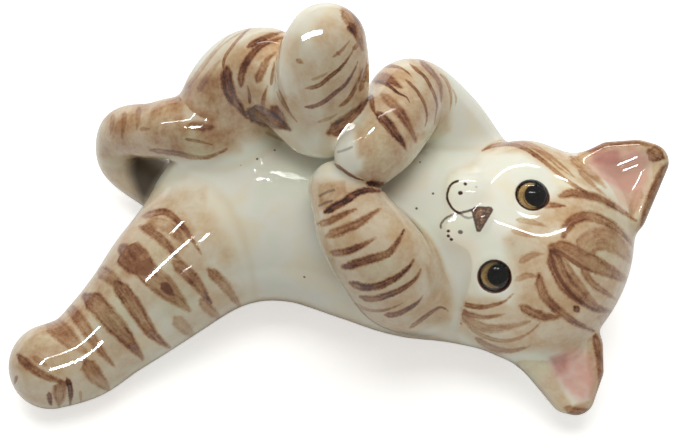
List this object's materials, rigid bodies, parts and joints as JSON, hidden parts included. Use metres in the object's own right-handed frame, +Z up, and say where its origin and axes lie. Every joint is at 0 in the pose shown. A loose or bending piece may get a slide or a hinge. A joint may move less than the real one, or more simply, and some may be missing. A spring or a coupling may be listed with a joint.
{
  "type": "ceramic cat figurine",
  "caption": "Glazed ceramic kitten lying on its back with limbs in the air, hollow body with a flat resting face and inset glass eyes, for display on a shelf.",
  "frame": {"origin": "a point on the flat resting face under the middle of the back, at table height", "axes": "+Z up from the resting face, out of the belly; +X along the trunk towards the head; +Y towards the kitten's right side"},
  "size_m": [0.1496, 0.079, 0.0745],
  "materials": {
    "white_glaze": "clear high-gloss glaze over white body, resting face left bare",
    "tabby_glaze": "brown brushed stripes under clear high-gloss glaze",
    "amber_enamel": "fired amber enamel on the back of the glass eye",
    "black_enamel": "black enamel pupil",
    "eye_glass": "clear polished glass dome"
  },
  "bodies": {
    "root": {"torso": "white_glaze", "head": "tabby_glaze", "left_ear": "tabby_glaze", "right_ear": "tabby_glaze", "left_foreleg": "tabby_glaze", "right_foreleg": "tabby_glaze", "left_hind_leg": "tabby_glaze", "right_thigh": "tabby_glaze", "right_hind_foot": "tabby_glaze", "tail": "tabby_glaze", "left_eye_iris": "amber_enamel", "right_eye_iris": "amber_enamel", "left_eye_pupil": "black_enamel", "right_eye_pupil": "black_enamel", "left_eye_glass": "eye_glass", "right_eye_glass": "eye_glass"}
  },
  "joints": []
}
